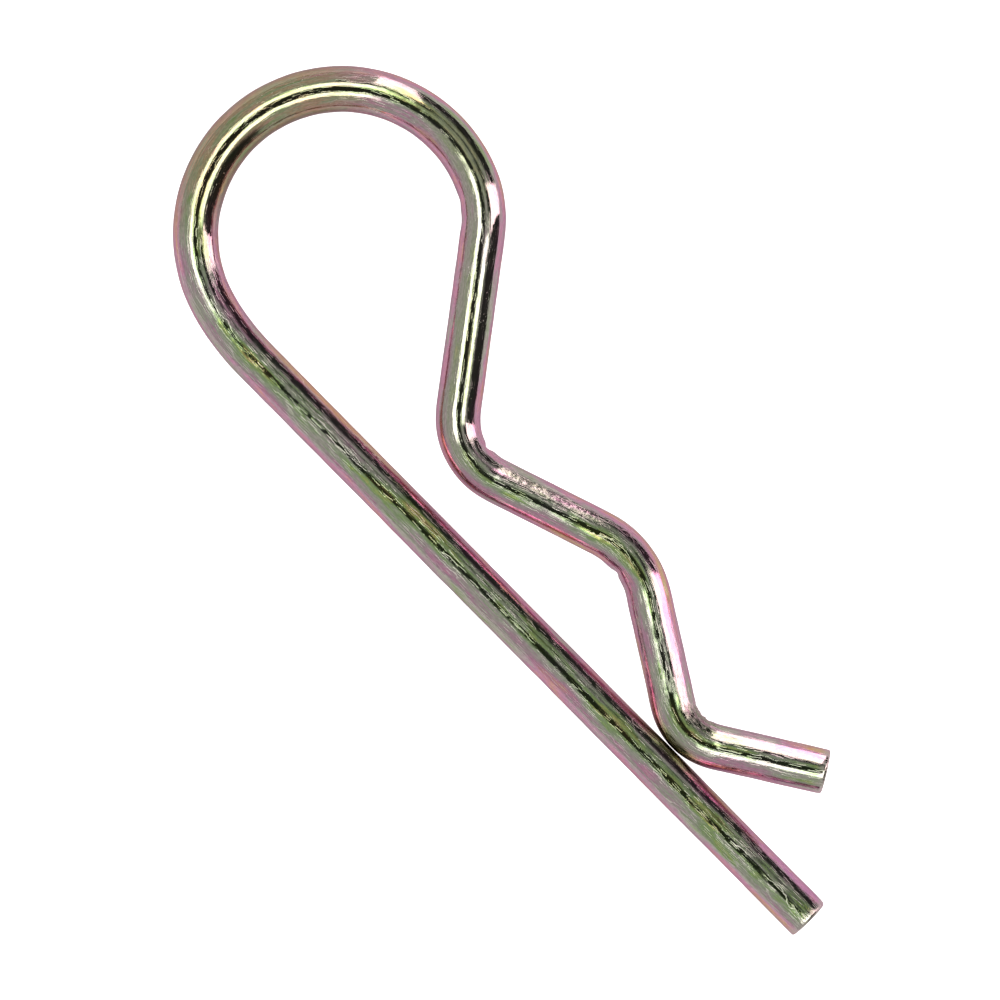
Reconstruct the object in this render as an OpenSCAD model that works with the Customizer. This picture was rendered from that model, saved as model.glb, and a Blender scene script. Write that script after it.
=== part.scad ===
// Hitch pin clip: one length of round spring wire, bent flat into a straight leg, a wide loop and a
// crook that closes back on the leg. The leg goes through the cross hole of a hitch pin and the crook
// snaps over the outside of that pin.
// Origin: where the hitch pin's axis crosses the leg's axis. +X runs to the leg's tip, +Y to the crook,
// and +Z stands square to the flat clip.

/* [Wire] */
// Diameter of the round wire
wire_d = 4; // [3:0.1:5]
// Radius of the rounded edge around each sheared end
end_round = 0.35; // [0.1:0.05:0.6]

/* [Leg] */
// Reach of the straight leg past the hitch pin's axis, to the face of its tip
tip_reach = 34.7; // [26:0.1:60]

/* [Loop] */
// Inside radius of the slow bend that leads the leg into the loop
lead_in_r = 21.7; // [14:0.1:40]
// Angle turned by the lead-in bend
lead_in_turn = 13.6; // [5:0.1:20]
// Inside radius of the loop
loop_in_r = 10.9; // [9:0.05:16]
// Angle turned by the loop
loop_turn = 185.7; // [180:0.1:195]
// Inside radius of the tighter shoulder that closes the loop
shoulder_in_r = 7.65; // [4:0.05:10]
// Angle turned by the shoulder
shoulder_turn = 33.3; // [25:0.1:40]

/* [Crook] */
// Diameter of a hitch pin that just reaches the crown
pin_d = 18.6; // [15:0.1:23]
// Clear height of the throat, where the wire comes nearest to the leg before the crown
throat_gap = 3.3; // [2:0.1:5]
// Inside radius of the throat bend
throat_in_r = 4.15; // [2:0.05:6]
// Angle to the leg at which the wire climbs from the throat to the crown
climb = 18.5; // [15:0.1:24]
// Inside radius of the crown, which lies over the hitch pin
crown_in_r = 6.1; // [4:0.1:9]
// Angle to the leg at which the wire falls from the crown to the nip
fall = 32.3; // [28:0.1:40]
// Inside radius of the nip, the bend that closes on the leg
nip_in_r = 3.25; // [2:0.05:5]
// Hairline of clearance between the nip and the leg
nip_gap = 0.05; // [0.02:0.01:0.5]
// Angle at which the toe rises from the leg, to ride up over a hitch pin
toe_rise = 32.3; // [20:0.1:45]
// Straight length of the toe, to its end face
toe_len = 9.8; // [5:0.1:15]

/* [Hidden] */
$fn = 96;

// Radii at the wire's axis
wire_r = wire_d / 2;
lead_in = lead_in_r + wire_r;
loop = loop_in_r + wire_r;
shoulder = shoulder_in_r + wire_r;
throat = throat_in_r + wire_r;
crown = crown_in_r + wire_r;
nip = nip_in_r + wire_r;

// A rotation is stored by its sine and cosine, to six figures, and unless those two lie on a circle it
// also scales, so that a bend and the straight after it miss each other by a hair. This gives the angle
// within 0.03 degrees of the one asked for whose six figures come nearest to a true circle.
function six_figures(x) = abs(x) < 1e-9 ? 0 : let (k = pow(10, 5 - floor(log(abs(x))))) round(x * k) / k;
function off_circle(a) = abs(pow(six_figures(cos(a)), 2) + pow(six_figures(sin(a)), 2) - 1);
function true_turn(a) =
    let (near = [for (k = [-500:500]) a + k * 6e-5], off = [for (n = near) off_circle(n)])
    near[search(min(off), off)[0]];

// Angles turned by the bends of the loop, and how steeply the wire then drops to the leg
lead_in_bend = true_turn(lead_in_turn);
half_loop_bend = true_turn(loop_turn / 2);
shoulder_bend = true_turn(shoulder_turn);
lead_in_end = lead_in_bend;
loop_end = lead_in_end + 2 * half_loop_bend;
shoulder_end = loop_end + shoulder_bend;
drop_angle = shoulder_end - 180;

// Angles turned by the bends of the crook, and the slopes that they give its straights
throat_bend = true_turn(drop_angle + climb);
climb_angle = throat_bend - drop_angle;
crown_bend = true_turn(climb_angle + fall);
fall_angle = crown_bend - climb_angle;
nip_bend = true_turn(fall_angle + toe_rise);

// How far a bend of radius r carries the axis off the leg, and along it, from heading a to heading b
function rise(r, a, b) = r * (cos(a) - cos(b));
function run(r, a, b) = r * (sin(b) - sin(a));

// Heights of the axis over the leg's axis
loop_height = rise(lead_in, 0, lead_in_end) + rise(loop, lead_in_end, loop_end)
    + rise(shoulder, loop_end, shoulder_end);
throat_height = wire_d + throat_gap;
crown_height = pin_d / 2 + wire_r;
nip_height = wire_d + nip_gap;

// Straights that join the bends at those heights
drop_len = (loop_height - throat_height - rise(throat, 0, drop_angle)) / sin(drop_angle);
climb_len = (crown_height - throat_height - rise(throat + crown, 0, climb_angle)) / sin(climb_angle);
fall_len = (crown_height - nip_height - rise(crown + nip, 0, fall_angle)) / sin(fall_angle);

// Distance along the leg from the lead-in bend to the crown, which lies over the hitch pin's axis
loop_run = run(lead_in, 0, lead_in_end) + run(loop, lead_in_end, loop_end) + run(shoulder, loop_end, shoulder_end);
crown_run = drop_len * cos(drop_angle) + run(throat, 0, drop_angle)
    + run(throat + crown, 0, climb_angle) + climb_len * cos(climb_angle);
leg_len = tip_reach + crown_run - loop_run;

// Bending programme, from the tip to the toe: straight fed, radius bent at the axis, angle turned, and
// the side it turns to, which is 1 for the loop's side and -1 for the other. Each bend turns less than
// half a circle. The rounded ends come on top.
PROGRAMME = [
    [leg_len - end_round, lead_in, lead_in_bend, 1],
    [0, loop, half_loop_bend, 1],
    [0, loop, half_loop_bend, 1],
    [0, shoulder, shoulder_bend, 1],
    [drop_len, throat, throat_bend, -1],
    [climb_len, crown, crown_bend, 1],
    [fall_len, nip, nip_bend, -1],
    [toe_len - end_round],
];

// Flat disc with a rounded rim, whose face looks along -X
module sheared_end() {
    rotate([0, 90, 0]) rotate_extrude() {
        square([wire_r - end_round, end_round]);
        translate([wire_r - end_round, end_round]) intersection() {
            circle(end_round);
            translate([0, -end_round]) square(end_round);
        }
    }
}

module straight(length) {
    rotate([0, 90, 0]) cylinder(r = wire_r, h = length);
}

// Moves on to the end of a bend that starts along +X and turns towards +Y
module past_bend(radius, angle) {
    translate([0, radius, 0]) rotate([0, 0, angle]) translate([0, -radius, 0]) children();
}

// All the space ahead of the wire as it enters a bend
module ahead(radius) {
    reach = 2 * (radius + wire_r);
    translate([0, radius - reach, -reach]) cube([reach, 2 * reach, 2 * reach]);
}

// A bend is what a full ring has between the plane where the wire enters and the one where it leaves
module bend(radius, angle) {
    intersection() {
        translate([0, radius, 0]) rotate_extrude() translate([radius, 0]) circle(wire_r);
        ahead(radius);
        past_bend(radius, angle) mirror([1, 0, 0]) ahead(radius);
    }
}

// Leaves the wire as it is on the loop's side, and swaps a bend to the other
module side(way) {
    mirror([0, way < 0 ? 1 : 0, 0]) children();
}

// The wire from one row of the programme to the last, starting at the origin along +X
module formed(row) {
    feed = PROGRAMME[row][0];
    radius = PROGRAMME[row][1];
    angle = PROGRAMME[row][2];
    way = PROGRAMME[row][3];
    if (feed > 0) straight(feed);
    translate([feed, 0, 0]) {
        if (row < len(PROGRAMME) - 1) side(way) {
            bend(radius, angle);
            past_bend(radius, angle) side(way) formed(row + 1);
        } else {
            translate([end_round, 0, 0]) mirror([1, 0, 0]) sheared_end();
        }
    }
}

module clip_wire() {
    color("darkkhaki") translate([tip_reach, 0, 0]) mirror([1, 0, 0]) {
        sheared_end();
        translate([end_round, 0, 0]) formed(0);
    }
}

clip_wire();
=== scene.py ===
import math
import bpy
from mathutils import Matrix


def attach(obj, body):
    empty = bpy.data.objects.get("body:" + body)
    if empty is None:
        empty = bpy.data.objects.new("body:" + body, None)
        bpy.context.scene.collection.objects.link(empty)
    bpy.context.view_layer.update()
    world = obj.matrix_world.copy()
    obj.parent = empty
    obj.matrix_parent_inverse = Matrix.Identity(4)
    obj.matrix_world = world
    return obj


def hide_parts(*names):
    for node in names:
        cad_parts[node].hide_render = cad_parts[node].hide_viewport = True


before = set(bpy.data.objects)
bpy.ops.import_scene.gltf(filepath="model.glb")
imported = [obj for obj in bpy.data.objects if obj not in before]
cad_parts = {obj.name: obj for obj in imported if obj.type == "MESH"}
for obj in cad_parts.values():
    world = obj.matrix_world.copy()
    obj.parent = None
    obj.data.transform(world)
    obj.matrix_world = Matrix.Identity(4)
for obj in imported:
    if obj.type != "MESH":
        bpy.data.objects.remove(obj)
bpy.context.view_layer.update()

from types import SimpleNamespace

import bpy
import numpy as np
from mathutils import Matrix

MM = 0.001

# --------------------------------------------------------------------------- wire, in millimetres
WIRE_R = 2.0
END_ROUND = 0.35        # length of wire that the profile of each sheared end takes up
TIP_REACH = 34.7        # from the hitch pin's axis to the leg's tip
PIN_D = 18.6
THROAT_GAP = 3.3
NIP_GAP = 0.05
TOE_LEN = 9.8
# bends, as the radius at the wire's axis and the angle turned
LEAD_IN = (21.7 + WIRE_R, 13.6)
LOOP = (10.9 + WIRE_R, 185.7)
SHOULDER = (7.65 + WIRE_R, 33.3)
# bends of the crook, whose angles follow from the slopes of its straights
THROAT_R = 4.15 + WIRE_R
CROWN_R = 6.1 + WIRE_R
NIP_R = 3.25 + WIRE_R
CLIMB = 18.5
FALL = 32.3
TOE_RISE = 32.3

AXIS_STEP = 0.02        # between points of the axis
SPRING_BACK = 0.45      # length over which a bend fades into a straight
RING_STEP = 0.27        # length of one row of facets
AROUND = 96             # facets around the wire
SWELL_SEED = 4          # of the swells and die ripples

# stretches of the wire's finish, as lengths from the tip where each begins, is full, fades and ends
KHAKI_AT = (79.0, 89.0, 99.0, 109.0)
GREY_AT = (106.0, 114.0, 138.0, 146.0)
MAGENTA_AT = (22.0, 28.0, 50.0, 62.0)
STRAW_AT = (48.0, 58.0, 66.0, 73.0)
RUBBED_AT = (144.0, 147.0, 155.0, 160.0)


def rise(r, a, b):
    """Height gained by a bend of radius r from heading a to heading b: r (cos a - cos b)."""
    return r * (math.cos(math.radians(a)) - math.cos(math.radians(b)))


def run(r, a, b):
    """Length gained by a bend of radius r from heading a to heading b: r (sin b - sin a)."""
    return r * (math.sin(math.radians(b)) - math.sin(math.radians(a)))


def bending_programme():
    """Straights and bends of the clip, as rows of (length, curvature), tip to toe.

    Each straight between two bends is as long as the height between them asks for,
    divided by the sine of its slope."""
    loop_end = LEAD_IN[1] + LOOP[1]
    shoulder_end = loop_end + SHOULDER[1]
    drop = shoulder_end - 180
    loop_height = rise(LEAD_IN[0], 0, LEAD_IN[1]) + rise(LOOP[0], LEAD_IN[1], loop_end) \
        + rise(SHOULDER[0], loop_end, shoulder_end)
    throat_height = 2 * WIRE_R + THROAT_GAP
    crown_height = PIN_D / 2 + WIRE_R
    nip_height = 2 * WIRE_R + NIP_GAP

    def straight(height, slope):
        return height / math.sin(math.radians(slope))

    drop_len = straight(loop_height - throat_height - rise(THROAT_R, 0, drop), drop)
    climb_len = straight(crown_height - throat_height - rise(THROAT_R + CROWN_R, 0, CLIMB), CLIMB)
    fall_len = straight(crown_height - nip_height - rise(CROWN_R + NIP_R, 0, FALL), FALL)
    loop_run = run(LEAD_IN[0], 0, LEAD_IN[1]) + run(LOOP[0], LEAD_IN[1], loop_end) \
        + run(SHOULDER[0], loop_end, shoulder_end)
    crown_run = drop_len * math.cos(math.radians(drop)) + run(THROAT_R, 0, drop) \
        + run(THROAT_R + CROWN_R, 0, CLIMB) + climb_len * math.cos(math.radians(CLIMB))

    def bent(r, turn, side):
        return r * math.radians(turn), side / r

    return [
        (TIP_REACH + crown_run - loop_run, 0),
        bent(*LEAD_IN, 1),
        bent(*LOOP, 1),
        bent(*SHOULDER, 1),
        (drop_len, 0),
        bent(THROAT_R, drop + CLIMB, -1),
        (climb_len, 0),
        bent(CROWN_R, CLIMB + FALL, 1),
        (fall_len, 0),
        bent(NIP_R, FALL + TOE_RISE, -1),
        (TOE_LEN, 0),
    ]


def formed_axis():
    """Lengths, points, headings and curvatures along the wire's axis, and the ends of its rows.

    The curvature of the programme is averaged over a short length by a bell curve, because
    spring wire leaves a former gradually. Its running sum is the heading, which starts along
    -X and turns clockwise for the loop's side, and the running sum of the heading's unit
    vector is the path."""
    rows = bending_programme()
    ends = np.cumsum([length for length, _ in rows])
    s = np.arange(0, ends[-1] + AXIS_STEP / 2, AXIS_STEP)
    curve = np.array([c for _, c in rows])[np.searchsorted(ends, s).clip(0, len(rows) - 1)]
    reach = np.arange(-4 * SPRING_BACK, 4 * SPRING_BACK + AXIS_STEP / 2, AXIS_STEP)
    weight = np.exp(-0.5 * (reach / SPRING_BACK) ** 2)
    padded = np.pad(curve, len(reach) // 2, mode="edge")
    curve = np.convolve(padded, weight / weight.sum(), "valid")[:len(s)]
    heading = math.pi - np.concatenate([[0], np.cumsum((curve[1:] + curve[:-1]) / 2 * AXIS_STEP)])
    way = np.stack([np.cos(heading), np.sin(heading)], 1)
    path = np.concatenate([[[0, 0]], np.cumsum((way[1:] + way[:-1]) / 2 * AXIS_STEP, 0)])
    return s, path + [TIP_REACH, 0], heading, curve, ends


S, PATH, HEADING, CURVE, ENDS = formed_axis()
LENGTH = float(S[-1])

# lengths from the tip to the middle of each bend, and to where the nip closes on the leg
BEND_ROWS = (2, 3, 5, 7, 9)
AT_LOOP, AT_SHOULDER, AT_THROAT, AT_CROWN, AT_NIP = ((ENDS[row - 1] + ENDS[row]) / 2 for row in BEND_ROWS)
CLOSES_AT = TIP_REACH - float(np.interp(AT_NIP, S, PATH[:, 0]))


# --------------------------------------------------------------------------- radius of the wire
# angle around the wire: 0 is the side left of the way from tip to toe, and a quarter turn is the top
LEFT, RIGHT = 0.0, math.pi
# the shears came down on these sides, and rolled the edge over
TIP_ROLL, TOE_ROLL = math.radians(125), math.radians(100)

# pinches by the former inside a bend: place, side, depth, length and spread
PINCHES = [
    (AT_THROAT + 0.9, LEFT, 0.24, 0.40, 0.42),
    (AT_THROAT - 0.6, LEFT, 0.08, 0.9, 0.6),
    (AT_CROWN + 0.2, RIGHT, 0.18, 0.42, 0.40),
    (AT_CROWN + 2.2, RIGHT, 0.06, 0.9, 0.5),
    (AT_NIP - 1.7, LEFT, 0.09, 0.35, 0.5),
    (AT_NIP - 0.5, LEFT, 0.10, 0.30, 0.6),
    (AT_NIP + 0.8, LEFT, 0.09, 0.32, 0.5),
    (AT_SHOULDER - 0.5, RIGHT, 0.07, 0.5, 0.35),
    (AT_SHOULDER + 1.8, RIGHT, 0.05, 0.6, 0.35),
    (AT_LOOP - 12, RIGHT, 0.03, 0.8, 0.4),
]
# fine folds across the inside of a bend: place, side, depth, length, spread and pitch
FOLDS = [
    (AT_THROAT + 0.7, LEFT, 0.050, 0.7, 0.75, 0.62),
    (AT_CROWN + 0.4, RIGHT, 0.045, 0.7, 0.6, 0.70),
    (AT_NIP - 0.3, LEFT, 0.110, 1.1, 1.00, 0.70),
    (AT_SHOULDER + 0.6, RIGHT, 0.020, 1.2, 0.5, 0.90),
]
# places that stand proud: place, side, height, length and spread
# the bending upset the inside of the loop, and the nip all but touches the leg
SWOLLEN = [
    (AT_LOOP, RIGHT, 0.12, 13, 0.8),
    (AT_NIP, RIGHT, 0.10, 2.0, 0.8),
    (CLOSES_AT, RIGHT, 0.02, 4, 0.7),
]


def turned(a, facing):
    """Angle from facing round to a, between half a turn back and half a turn on."""
    return (a - facing + math.pi) % (2 * math.pi) - math.pi


def hill(s, a, place, facing, length, spread):
    """Smooth hill exp(-(ds / length)^2 / 2 - (da / spread)^2 / 2) around one place on the wire."""
    return np.exp(-0.5 * ((s - place) / length) ** 2 - 0.5 * (turned(a, facing) / spread) ** 2)


def ripple(s, a, rng, longest, count, turns):
    """Sum of count waves over the wire's length s and the angle a around it.

    Each wave is cos(2 pi s / length + n a + phase) with a whole number n, so that it
    closes around the wire, and the sum is scaled to an rms of one."""
    total = np.zeros(np.broadcast(s, a).shape)
    for _ in range(count):
        length = longest * rng.uniform(0.35, 1)
        n = rng.integers(0, turns + 1) * rng.choice([-1, 1])
        total = total + np.cos(2 * math.pi * s / length + n * a + rng.uniform(0, 2 * math.pi))
    return total / math.sqrt(count / 2)


def wire_radius(s, a):
    """Radius of the drawn wire at length s and angle a, in millimetres.

    The drawn radius, less a share of the curvature where a bend flattens the wire, plus
    long swells and die ripples of a few thousandths. Each end is rolled in by a depth that
    dies away as exp(-distance), on the side where the shears came down. Smooth hills stand
    proud or pinch the wire in, and the folds are such pinches cut up by two slanting cosine
    waves."""
    rng = np.random.default_rng(SWELL_SEED)
    bend = np.abs(np.interp(s, S, CURVE))
    r = WIRE_R - 0.22 * bend * np.sin(a) ** 2 - 0.06 * bend * np.cos(a) ** 2
    r = r + 0.006 * ripple(s, a, rng, 24, 12, 2) + 0.004 * ripple(s, a, rng, 6, 16, 3)
    r = r + 0.0012 * ripple(s, a, rng, 1.6, 20, 5)
    for from_end, roll_side, depth in ((s, TIP_ROLL, 0.12), (LENGTH - s, TOE_ROLL, 0.11)):
        r = r - depth * np.exp(-from_end / 0.30) * (0.5 + 0.5 * np.cos(a - roll_side)) ** 2.5
    for place, side, height, length, spread in SWOLLEN:
        r = r + height * hill(s, a, place, side, length, spread)
    for place, side, depth, length, spread in PINCHES:
        r = r - depth * hill(s, a, place, side, length, spread)
    for place, side, depth, length, spread, pitch in FOLDS:
        around = turned(a, side)
        slant = s + 0.45 * around + 0.22 * np.sin(4.2 * around + 1.7 * s)
        counter = 0.7 * s - 0.6 * around + 0.2 * np.sin(3 * around)
        wave, cross = (0.5 + 0.5 * np.cos(2 * math.pi * t / pitch) for t in (slant, counter))
        r = r - depth * (0.65 * wave + 0.35 * cross) * hill(s, a, place, side, length, spread)
    return r


def sheared_end(a, roll_side):
    """Setback and share of the radius of one end over (row, angle), from the wall to the middle.

    The shears roll the edge over on one side and leave it sharp on the other. Over a quarter
    turn t the setback runs out by sin t while the radius falls by (1 - cos t) ^ 1.2. A small
    quarter round follows, and then the face, which waves a few hundredths of a millimetre."""
    rolled = 0.5 + 0.5 * np.cos(a - roll_side)
    roll = 0.02 + 0.06 * rolled ** 1.5
    edge = 0.05 + 0.05 * rolled
    t = np.linspace(0, math.pi / 2, 13)[:, None]
    roll_back = END_ROUND + (edge - END_ROUND) * np.sin(t)
    roll_drop = roll * (1 - np.cos(t)) ** 1.2
    t = np.linspace(0, math.pi / 2, 6)[1:, None]
    edge_back = edge * (1 - np.sin(t))
    edge_drop = roll + edge * (1 - np.cos(t))
    share = np.linspace(1, 0, 12)[1:-1, None]
    face_back = (0.02 + 0.015 * np.sin(3 * a + 1) * share ** 2 + 0.012 * np.cos(2 * a) * share) * (1 - share)
    face_radius = (WIRE_R - edge_drop[-1]) * share
    back = np.concatenate([roll_back, edge_back, face_back])
    return back, np.concatenate([WIRE_R - roll_drop, WIRE_R - edge_drop, face_radius]) / WIRE_R


def tube_faces(rows, around):
    """Quads of a grid of rows closed around, and the triangles that close it to two poles.

    The poles are the two points after the grid's."""
    i, j = np.meshgrid(np.arange(rows - 1), np.arange(around), indexing="ij")
    k = (j + 1) % around
    quads = np.stack([i * around + j, i * around + k, (i + 1) * around + k, (i + 1) * around + j], -1)
    j = np.arange(around)
    k = (j + 1) % around
    last_row, pole = (rows - 1) * around, rows * around
    first = np.stack([k, j, np.full(around, pole)], 1)
    last = np.stack([last_row + j, last_row + k, np.full(around, pole + 1)], 1)
    return quads.reshape(-1, 4).tolist() + first.tolist() + last.tolist()


def clip_wire():
    """The whole clip as one closed tube.

    A circle of AROUND points is carried along the axis. Its point at angle a stands at
    axis + r(s, a) (cos a, left) + (sin a, up). The last rows shrink over each end's
    profile to a single point. The straightened place (s, r cos a, r sin a) is kept as an
    attribute, for patterns that follow the wire."""
    a = np.arange(AROUND) * 2 * math.pi / AROUND
    tip_back, tip_scale = sheared_end(a, TIP_ROLL)
    toe_back, toe_scale = sheared_end(a, TOE_ROLL)
    rows = int(round((LENGTH - 2 * END_ROUND) / RING_STEP))
    body = np.linspace(END_ROUND, LENGTH - END_ROUND, rows + 1)[1:-1, None] + 0 * a
    s = np.concatenate([tip_back[::-1], body, LENGTH - toe_back])
    scale = np.concatenate([tip_scale[::-1], 1 + 0 * body, toe_scale])
    aa = a[None] + 0 * s
    r = wire_radius(s, aa) * scale
    h = np.interp(s, S, HEADING)
    x, y = np.interp(s, S, PATH[:, 0]), np.interp(s, S, PATH[:, 1])
    side, up = r * np.cos(aa), r * np.sin(aa)
    points = np.stack([x - side * np.sin(h), y + side * np.cos(h), up], -1)
    laid = np.stack([s, side, up], -1)
    # the middle of each end face lies a little way in from the end
    hollow = 0.02
    h = HEADING[[0, -1]]
    inward = np.stack([np.cos(h), np.sin(h)], 1) * [[hollow], [-hollow]]
    poles = np.pad(PATH[[0, -1]] + inward, ((0, 0), (0, 1)))
    points = np.concatenate([points.reshape(-1, 3), poles]) * MM
    laid = np.concatenate([laid.reshape(-1, 3), [[0, 0, 0], [LENGTH, 0, 0]]])
    mesh = bpy.data.meshes.new("formed_wire")
    mesh.from_pydata(points.tolist(), [], tube_faces(*s.shape))
    mesh.polygons.foreach_set("use_smooth", np.ones(len(mesh.polygons), dtype=bool))
    mesh.attributes.new("laid_out", "FLOAT_VECTOR", "POINT").data.foreach_set("vector", laid.ravel())
    mesh.update()
    piece = bpy.data.objects.new("formed_wire", mesh)
    bpy.context.collection.objects.link(piece)
    return piece


# --------------------------------------------------------------------------- node helpers
class Net:
    """Small writer of shader nodes: each call adds a node and returns its output."""

    def __init__(self, tree):
        self.tree = tree

    def add(self, kind, **settings):
        node = self.tree.nodes.new(kind)
        for name, value in settings.items():
            setattr(node, name, value)
        return node

    def put(self, socket, value):
        if isinstance(value, bpy.types.NodeSocket):
            self.tree.links.new(value, socket)
        else:
            socket.default_value = value

    def maths(self, operation, *values):
        node = self.add("ShaderNodeMath", operation=operation)
        for socket, value in zip(node.inputs, values):
            self.put(socket, value)
        return node.outputs[0]

    def times(self, first, *others):
        """Product of all the values."""
        for other in others:
            first = self.maths("MULTIPLY", first, other)
        return first

    def line(self, value, slope, start):
        """start + slope value."""
        return self.maths("MULTIPLY_ADD", value, slope, start)

    def swing(self, noise, share, base):
        """base + share (noise - 0.5)."""
        return self.line(self.maths("SUBTRACT", noise, 0.5), share, base)

    def distance(self, value, place):
        """How far the value is from a place, either way."""
        return self.maths("ABSOLUTE", self.maths("SUBTRACT", value, place))

    def vector(self, operation, *values):
        node = self.add("ShaderNodeVectorMath", operation=operation)
        for socket, value in zip(node.inputs, values):
            self.put(socket, value)
        return node.outputs["Value" if operation == "DOT_PRODUCT" else "Vector"]

    def combine(self, *values):
        node = self.add("ShaderNodeCombineXYZ")
        for socket, value in zip(node.inputs, values):
            self.put(socket, value)
        return node.outputs[0]

    def split(self, vector):
        node = self.add("ShaderNodeSeparateXYZ")
        self.put(node.inputs[0], vector)
        return node.outputs

    def noise(self, where, per_unit, detail=3.0, rough=0.5, warp=0.0, shift=(0.0, 0.0, 0.0)):
        """Noise whose grain has per_unit cells to a unit along each axis."""
        node = self.add("ShaderNodeTexNoise", noise_dimensions="3D")
        where = self.vector("MULTIPLY_ADD", where, per_unit, shift)
        for name, value in (("Vector", where), ("Scale", 1.0), ("Detail", detail),
                            ("Roughness", rough), ("Distortion", warp)):
            self.put(node.inputs[name], value)
        return node.outputs[0]

    def blend(self, kind, amount, low, high):
        node = self.add("ShaderNodeMix", data_type="RGBA", blend_type=kind)
        for name, value in ((0, amount), (6, low), (7, high)):
            self.put(node.inputs[name], value)
        return node.outputs[2]

    def tint(self, amount, colour, other):
        """The colour, mixed by an amount with a fixed one."""
        return self.blend("MIX", amount, colour, (*other, 1))

    def shade(self, amount, colour, by):
        """The colour, multiplied by a fixed one as far as an amount says."""
        return self.blend("MULTIPLY", amount, colour, (*by, 1))

    def ramp(self, value, stops):
        node = self.add("ShaderNodeValToRGB")
        marks = node.color_ramp.elements
        while len(marks) < len(stops):
            marks.new(0.5)
        for mark, (place, colour) in zip(marks, stops):
            mark.position, mark.color = place, (*colour, 1)
        self.put(node.inputs[0], value)
        return node.outputs[0]

    def between(self, value, low, high, to_low=0.0, to_high=1.0):
        """Smooth step from to_low at low and before to to_high at high and after."""
        node = self.add("ShaderNodeMapRange", interpolation_type="SMOOTHSTEP")
        for socket, number in zip(node.inputs, (value, low, high, to_low, to_high)):
            self.put(socket, number)
        return node.outputs[0]

    def stretch(self, along, begins, full, fades, ends):
        """One on a stretch of the wire, from full to fades, and nought past both ends."""
        return self.times(self.between(along, begins, full), self.between(along, fades, ends, 1.0, 0.0))


# --------------------------------------------------------------------------- finish of the wire
# colours that the film runs through as it thickens, which also paint the reflection colour from green on top
# to pink at the sides
FILM_AND_REFLECTION_ORDER = (
    (0.00, (0.64, 0.56, 0.24)),
    (0.12, (0.42, 0.56, 0.19)),
    (0.22, (0.33, 0.49, 0.22)),
    (0.33, (0.43, 0.51, 0.36)),
    (0.44, (0.50, 0.51, 0.44)),
    (0.55, (0.53, 0.42, 0.45)),
    (0.66, (0.64, 0.35, 0.49)),
    (0.78, (0.72, 0.39, 0.44)),
    (0.90, (0.72, 0.48, 0.30)),
    (1.00, (0.66, 0.64, 0.32)),
)
# and those of the khaki film on the loop
KHAKI_ORDER = (
    (0.30, (0.30, 0.40, 0.17)),
    (0.42, (0.40, 0.42, 0.26)),
    (0.56, (0.48, 0.38, 0.20)),
    (0.74, (0.56, 0.37, 0.29)),
)
# painted shade on the khaki film at the wire's sides
KHAKI_RIM_SHADE = (0.66, 0.74, 0.56)
GREY_FILM = (0.55, 0.51, 0.45)
PURPLE_FILM = (0.66, 0.32, 0.60)
MAGENTA_FILM = (0.74, 0.22, 0.42)
STRAW_FILM = (0.74, 0.52, 0.20)
# painted shade, dark green, where the nip closes on the leg
CONTACT_SHADE = (0.24, 0.30, 0.15)
END_FILM = (0.56, 0.54, 0.49)
GRAIN = ((0.34, (0.86, 0.86, 0.86)), (0.66, (1.11, 1.11, 1.11)))
# painted shade at the wire's very sides
RIM_SHADE = (0.66, 0.66, 0.68)
# painted shade in the folds inside the nip
FOLD_SHADE = (0.50, 0.52, 0.44)
ZINC = (0.84, 0.84, 0.74)

# hair scratches: width and length of their lane, their own width, share of the lanes' cells that hold
# one, sway of the lanes, and seed
FINE_HAIRS = (0.17, 1.8, 0.030, 0.70, 0.60, 3.0)
LONG_HAIRS = (0.42, 4.5, 0.040, 0.50, 1.1, 11.0)
FOLD_HAIRS = (0.14, 1.1, 0.032, 0.8, 0.8, 41.0)
BOLD_HAIRS = (1.7, 7.0, 0.055, 0.35, 2.4, 23.0)

BUMP_DEPTH = 0.03 * MM
BUMP_SHARE = 0.55


def marks_on(net):
    """Places, noises and worn stretches on the straightened wire, which the finish is made of."""
    laid = net.add("ShaderNodeAttribute", attribute_name="laid_out").outputs["Vector"]
    along, side, up = net.split(laid)
    on = SimpleNamespace(laid=laid, along=along, side=side)
    # share of the way from the top or bottom line to the two sides
    on.out = net.maths("DIVIDE", net.maths("ABSOLUTE", side), WIRE_R)
    # the wire rolled out flat: length, and millimetres around from the top line
    on.turn = net.times(net.maths("ARCTAN2", side, up), WIRE_R)
    on.flat = net.combine(along, on.turn)

    on.drift = net.noise(laid, (0.11, 0.60, 0.60), 3.0, 0.55)
    on.streak = net.noise(laid, (0.20, 3.0, 3.0), 5.0, 0.62, 0.3)
    on.blotch = net.noise(laid, (0.45, 1.2, 1.2), 5.0, 0.62, 0.5)
    on.worn = net.noise(laid, (0.35, 0.9, 0.9), 4.0, shift=(7.0, 3.0, 1.0))

    on.khaki = net.stretch(along, *KHAKI_AT)
    on.grey = net.stretch(along, *GREY_AT)
    # the former has rubbed the outer side of the climb
    on.rubbed = net.times(net.stretch(along, *RUBBED_AT), net.between(side, 0.3, 0.8),
                          net.between(side, 1.25, 1.6, 1.0, 0.15))
    # the folds inside the nip end raggedly
    from_nip = net.swing(on.streak, 5.0, net.distance(along, AT_NIP - 0.2))
    on.folded = net.times(net.between(from_nip, 1.6, 2.4, 1.0, 0.0), net.between(side, 0.3, 0.9))
    # the shears bruised the wire at its tip
    on.bruised = net.between(along, 0.8, 4.5, 1.0, 0.0)
    return on


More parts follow.
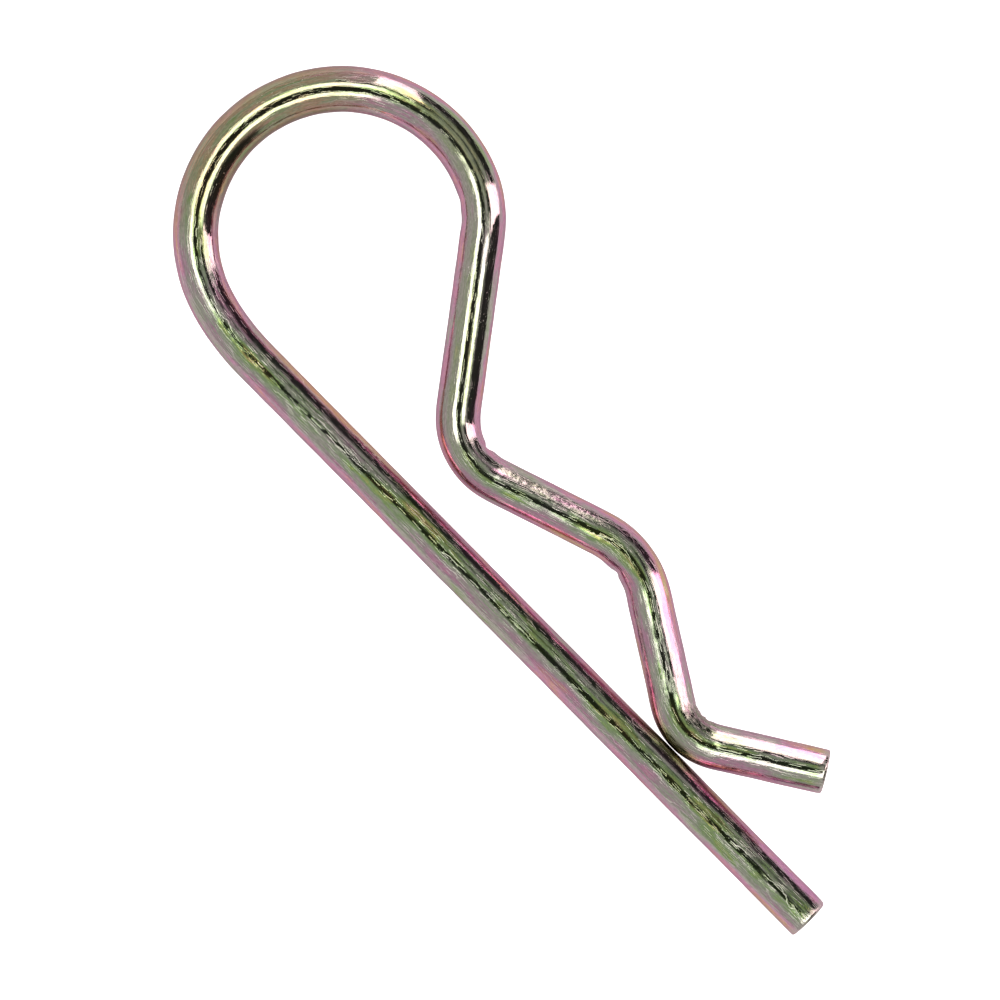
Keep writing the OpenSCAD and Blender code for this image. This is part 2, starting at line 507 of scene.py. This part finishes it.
def film_and_painted_light(net, on):
    """Colour of the chromate film, with painted reflection colour and painted shade.

    The film's colour runs through the order of a thin film: straw, green, grey, mauve, pink,
    orange. Noises give the film's uneven thickness. The share of the way out to the wire's
    sides also moves the colour along the order, as a painted reflection colour that is green
    on top and pink at the sides."""
    thread = net.noise(on.laid, (0.30, 9.0, 9.0), 3.0, 0.6, 0.2)
    # painted reflection colour: the colour runs on towards pink out at the wire's sides
    thickness_and_reflection = net.line(on.out, 0.52, 0.19)
    for noise, share in ((on.drift, 0.95), (on.streak, 0.45), (on.blotch, 0.60), (thread, 0.30)):
        thickness_and_reflection = net.swing(noise, share, thickness_and_reflection)
    # the painted reflection colour wanders more at the sides
    thickness_and_reflection = net.line(net.times(net.maths("SUBTRACT", on.drift, 0.5), on.out), 0.65, thickness_and_reflection)
    colour = net.ramp(thickness_and_reflection, FILM_AND_REFLECTION_ORDER)

    # the loop's film is khaki, with painted shade darkening it at the sides
    khaki = net.ramp(net.swing(on.blotch, 0.8, on.streak), KHAKI_ORDER)
    khaki = net.shade(net.between(on.out, 0.70, 1.0), khaki, KHAKI_RIM_SHADE)
    colour = net.blend("MIX", net.times(on.khaki, 0.86), colour, khaki)
    # greyer from the shoulder to the throat, but for the sides
    grey = net.times(on.grey, net.between(on.out, 0.55, 0.8, 0.45, 0.0))
    colour = net.tint(grey, colour, GREY_FILM)

    # purple on the side of the tip that faces the crook, and a magenta line further along
    purple = net.times(net.between(on.along, 8.0, 14.0, 1.0, 0.0), net.between(on.side, -1.3, -1.7))
    colour = net.tint(net.times(purple, 0.65), colour, PURPLE_FILM)
    magenta = net.times(net.stretch(on.along, *MAGENTA_AT), net.between(on.side, -1.25, -1.5),
                        net.between(on.side, -1.85, -1.7), net.between(on.streak, 0.36, 0.52))
    colour = net.tint(net.times(magenta, 0.7), colour, MAGENTA_FILM)
    # a straw-coloured stretch near the loop's end of the leg, and flecks of the same
    straw = net.times(net.stretch(on.along, *STRAW_AT), net.between(on.side, -1.45, -1.8))
    fleck = net.times(net.between(net.noise(on.laid, (1.1, 2.2, 2.2)), 0.63, 0.67),
                      net.between(net.times(on.drift, on.out), 0.46, 0.56))
    colour = net.tint(net.times(net.maths("MAXIMUM", straw, fleck), 0.75), colour, STRAW_FILM)

    # fine grain, and painted shade along the rim, darkest at the very sides
    grain = net.ramp(net.noise(on.laid, (2.6, 8.0, 8.0), 3.0, 0.6), GRAIN)
    colour = net.blend("MULTIPLY", 1.0, colour, grain)
    colour = net.shade(net.between(on.out, 0.88, 1.0), colour, RIM_SHADE)
    # painted shade, dark green, where the nip closes on the leg, on both wires
    on_leg = net.between(net.distance(on.along, CLOSES_AT), 1.6, 5.0, 1.0, 0.0)
    on_nip = net.between(net.distance(on.along, AT_NIP), 0.6, 2.6, 1.0, 0.0)
    closed = net.times(net.maths("MAXIMUM", on_leg, on_nip), net.between(on.side, -0.9, -1.6))
    colour = net.tint(net.times(closed, 0.85), colour, CONTACT_SHADE)
    # the film is thin and grey at the sheared ends
    to_end = net.maths("MINIMUM", on.along, net.maths("SUBTRACT", LENGTH, on.along))
    bare = net.between(net.swing(on.streak, 1.6, to_end), 0.25, 1.1, 1.0, 0.0)
    colour = net.tint(net.times(bare, 0.8), colour, END_FILM)
    # painted shade darkens the folds inside the nip
    return net.shade(net.times(on.folded, 0.8), colour, FOLD_SHADE)


def dice(net, row, cell, seed):
    """Three random numbers for one cell of the rolled-out wire."""
    roll = net.add("ShaderNodeTexWhiteNoise", noise_dimensions="3D")
    net.put(roll.inputs["Vector"], net.combine(row, cell, seed))
    return net.split(roll.outputs["Color"])


def hairs(net, on, lane, length, width, share, sway, seed):
    """Hair scratches of a width, in lanes of the rolled-out wire that a noise sways.

    Each lane is cut into cells of a length, and a share of the cells holds a scratch, with
    its own place across the lane, its own length and its own strength."""
    wander = net.noise(on.flat, (0.32, 0.6, 0.0), 3.0, 0.55, shift=(seed, seed, seed))
    across = net.maths("DIVIDE", net.line(wander, sway, on.turn), lane)
    row = net.maths("FLOOR", across)
    ahead = net.line(dice(net, row, 0.0, seed)[0], 9.0, net.maths("DIVIDE", on.along, length))
    place, chance, strength = dice(net, row, net.maths("FLOOR", ahead), seed + 0.5)
    off = net.maths("SUBTRACT", net.maths("FRACT", across), net.line(place, 0.6, 0.2))
    thin = net.between(net.times(net.maths("ABSOLUTE", off), lane), 0.3 * width, width, 1.0, 0.0)
    fade = net.times(strength, 0.25)
    ends = net.between(net.maths("PINGPONG", ahead, 0.5), fade, net.maths("ADD", fade, 0.12))
    return net.times(thin, ends, net.maths("LESS_THAN", chance, share), net.line(strength, 0.5, 0.5))


def scratches(net, on):
    """Strength of the scratches and chips, from nought to one."""
    fine = net.maths("MAXIMUM", hairs(net, on, *FINE_HAIRS), hairs(net, on, *LONG_HAIRS))
    # the loop and the drop have fewer of them, and the folds of the nip are full of them
    clean = net.line(net.maths("MAXIMUM", on.khaki, on.grey), -0.60, 1.0)
    fine = net.times(fine, net.between(on.worn, 0.38, 0.52, 0.30, 1.0), clean)
    folds = net.times(hairs(net, on, *FOLD_HAIRS), on.folded)
    bold = net.times(hairs(net, on, *BOLD_HAIRS), clean)
    chips = net.times(net.between(net.noise(on.laid, (3.0, 10.0, 10.0), 3.0, 0.65), 0.66, 0.72),
                      net.between(on.worn, 0.46, 0.58), 0.8)
    for more in (folds, bold, chips):
        fine = net.maths("MAXIMUM", fine, more)
    return fine


def relief(net, on, scratch, grit):
    """Height for the bump: die lines, grit and scratches, each with its share.

    The loop and the drop have shallower die lines, and the tip deeper ones. The grit stands
    out where the wire is rubbed, folded or bruised."""
    lines = net.noise(on.laid, (0.20, 5.0, 5.0), 4.0, 0.64, 0.3)
    smooth = net.maths("MAXIMUM", on.khaki, net.times(on.grey, 0.7))
    height = net.times(lines, net.line(on.bruised, 0.5, net.line(smooth, -0.40, 0.68)))
    coarse = net.maths("MAXIMUM", on.rubbed, net.times(net.maths("MAXIMUM", on.folded, on.bruised), 0.5))
    height = net.line(grit, net.line(coarse, 2.1, 0.14), height)
    return net.line(scratch, 0.35, height)


def plating():
    """Bright zinc under a chromate film, on drawn spring wire."""
    finish = bpy.data.materials.new("chromated_zinc")
    finish.use_nodes = True
    net = Net(finish.node_tree)
    shader = finish.node_tree.nodes["Principled BSDF"]
    on = marks_on(net)
    scratch = scratches(net, on)
    grit = net.noise(on.laid, (1.6, 4.0, 4.0), 4.0, 0.6)

    # a scratch goes through the film to the zinc, which is pale and scatters the light
    colour = net.tint(net.times(scratch, 0.65), film_and_painted_light(net, on), ZINC)
    net.put(shader.inputs["Base Color"], colour)
    rough = net.line(scratch, 0.40, net.between(grit, 0.35, 0.75, 0.025, 0.07))
    net.put(shader.inputs["Roughness"], net.line(on.rubbed, 0.05, rough))
    for name, value in (("Metallic", 1.0), ("Specular Tint", (0.90, 0.74, 0.82, 1)), ("Coat Weight", 1.0),
                        ("Coat IOR", 1.05), ("Coat Roughness", 0.08), ("Coat Tint", (1.0, 0.94, 0.97, 1))):
        shader.inputs[name].default_value = value

    bump = net.add("ShaderNodeBump")
    bump.inputs["Strength"].default_value = BUMP_SHARE
    bump.inputs["Distance"].default_value = BUMP_DEPTH
    net.put(bump.inputs["Height"], relief(net, on, scratch, grit))
    net.put(shader.inputs["Normal"], bump.outputs[0])
    return finish


wire = clip_wire()
wire.data.materials.append(plating())
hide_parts("clip_wire")
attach(wire, "root")

# --------------------------------------------------------------------------- studio
# the camera looks straight down, turned about the view so that the clip lies on the diagonal
VIEW_TURN = 45.305
VIEW_CENTRE = (-10.84 * MM, 6.67 * MM)
VIEW_WIDTH = 88.366 * MM
LENS = 200.0
SENSOR = 36.0
NEAREST, FURTHEST = 0.01, 50

# two tall windows: name, azimuth in the view (0 right, 90 up) and angle from straight above
WINDOWS = (("window_right", 13, 64), ("window_upper", 73, 64))
WINDOW_SIZE = (0.31, 1.16)
WINDOW_AWAY = 1.2
WINDOW_COLOUR = (1.0, 0.77, 0.84)
WINDOW_RADIANCE = 2.9

FLOOR_HALF = 3.0
FLOOR_BELOW = 0.02 * MM     # below the drawn radius, to leave room for the swells
FLOOR_GLOW = 0.27           # of the sheet in the wire's reflections
FLOOR_SEEN = 0.92           # more of it straight into the camera, which sees white

ROOM_LIGHT = 0.52
ROOM_SEEN = 0.95            # the room straight into the camera
ARC_LIGHT = 3.2             # of the rows of lamps


def towards(azimuth, zenith):
    """Unit vector at an azimuth of the view (0 right, 90 up) and an angle from straight above."""
    a, z = math.radians(azimuth) + math.radians(VIEW_TURN), math.radians(zenith)
    return math.sin(z) * math.cos(a), math.sin(z) * math.sin(a), math.cos(z)


def window(name, azimuth, zenith):
    """Rectangular light that faces the clip, wide along its azimuth and tall along its zenith angle."""
    lamp = bpy.data.lights.new(name, "AREA")
    wide, tall = WINDOW_SIZE
    lamp.shape, lamp.size, lamp.size_y = "RECTANGLE", wide, tall
    lamp.energy = WINDOW_RADIANCE * math.pi * wide * tall
    lamp.color = WINDOW_COLOUR
    place = bpy.data.objects.new(name, lamp)
    back = np.array(towards(azimuth, zenith))
    a = math.radians(azimuth + VIEW_TURN)
    across = np.array([-math.sin(a), math.cos(a), 0])
    pose = np.eye(4)
    pose[:3, 0], pose[:3, 1], pose[:3, 2] = across, np.cross(back, across), back
    pose[:3, 3] = np.array([*VIEW_CENTRE, 0]) + WINDOW_AWAY * back
    place.matrix_world = Matrix(pose.tolist())
    place.visible_camera = False
    bpy.context.collection.objects.link(place)


def floor():
    """Square sheet under the clip, white and softly lit through."""
    low = -WIRE_R * MM - FLOOR_BELOW
    corners = [(x * FLOOR_HALF, y * FLOOR_HALF, low) for x, y in ((-1, -1), (1, -1), (1, 1), (-1, 1))]
    mesh = bpy.data.meshes.new("floor")
    mesh.from_pydata(corners, [], [(0, 1, 2, 3)])
    sheet = bpy.data.objects.new("floor", mesh)
    bpy.context.collection.objects.link(sheet)
    white = bpy.data.materials.new("floor_white")
    white.use_nodes = True
    net = Net(white.node_tree)
    shader = white.node_tree.nodes["Principled BSDF"]
    for name, value in (("Base Color", (0.5, 0.5, 0.5, 1)), ("Roughness", 0.9), ("Specular IOR Level", 0.0),
                        ("Emission Color", (1, 1, 1, 1))):
        shader.inputs[name].default_value = value
    seen = net.add("ShaderNodeLightPath").outputs["Is Camera Ray"]
    net.put(shader.inputs["Emission Strength"], net.line(seen, FLOOR_SEEN, FLOOR_GLOW))
    mesh.materials.append(white)


def room():
    """Room around the table: soft zones of brightness, by direction.

    The walls are an even grey. Dark patches lie low on the side with the windows, between
    and beneath them, and just off straight above, and two rows of lamps make bright arcs.
    Azimuths are the view's, and zenith angles are from straight above."""
    world = bpy.data.worlds.new("room")
    world.use_nodes = True
    bpy.context.scene.world = world
    net = Net(world.node_tree)
    way = net.add("ShaderNodeTexCoord").outputs["Generated"]
    level = net.vector("NORMALIZE", net.vector("MULTIPLY", way, (1, 1, 0)))

    def cosine(angle):
        return math.cos(math.radians(angle))

    def patch(azimuth, zenith, inner, outer):
        """Soft round patch: one within the inner angle and nought past the outer."""
        near = net.vector("DOT_PRODUCT", way, towards(azimuth, zenith))
        return net.between(near, cosine(outer), cosine(inner))

    def arc(azimuth, half, low, high, soft):
        """Soft arc at zenith angles from low to high, which reaches half each way from its azimuth."""
        near = net.vector("DOT_PRODUCT", level, towards(azimuth, 90))
        up = net.vector("DOT_PRODUCT", way, (0, 0, 1))
        edge = 0.3 * soft
        return net.times(net.between(near, cosine(half + soft), cosine(half)),
                         net.between(up, cosine(low), cosine(low - edge), 1.0, 0.0),
                         net.between(up, cosine(high + edge), cosine(high)))

    light = ROOM_LIGHT
    for dark, depth in (
        (patch(42, 82, 22, 34), 1.0),
        (patch(-18, 72, 26, 38), 1.0),
        (patch(45, 38, 14, 30), 0.22),
        (patch(-85, 4.5, 11.5, 15.5), 1.0),
        (arc(45, 28, 33, 38, 6), 0.8),
        (arc(16, 15, 25, 38, 6), 0.95),
        (arc(75, 15, 25, 38, 6), 0.95),
    ):
        light = net.times(net.line(dark, -0.94 * depth, 1.0), light)
    for lamps in (arc(138, 54, 13, 25, 12), arc(-54, 52, 20, 33, 10)):
        light = net.line(lamps, ARC_LIGHT, light)
    seen = net.add("ShaderNodeLightPath").outputs["Is Camera Ray"]
    back = world.node_tree.nodes["Background"]
    net.put(back.inputs["Strength"], net.maths("MAXIMUM", light, net.times(seen, ROOM_SEEN)))
    back.inputs["Color"].default_value = (1, 1, 0.96, 1)


def camera():
    """Long lens straight above, as wide as the view."""
    lens = bpy.data.cameras.new("camera")
    lens.lens, lens.sensor_width = LENS, SENSOR
    lens.clip_start, lens.clip_end = NEAREST, FURTHEST
    eye = bpy.data.objects.new("camera", lens)
    eye.location = (*VIEW_CENTRE, VIEW_WIDTH * LENS / SENSOR)
    eye.rotation_euler = (0, 0, math.radians(VIEW_TURN))
    bpy.context.collection.objects.link(eye)
    bpy.context.scene.camera = eye
    bpy.context.scene.view_settings.view_transform = "Standard"
    bpy.context.scene.view_settings.look = "None"


for pane in WINDOWS:
    window(*pane)
floor()
room()
camera()
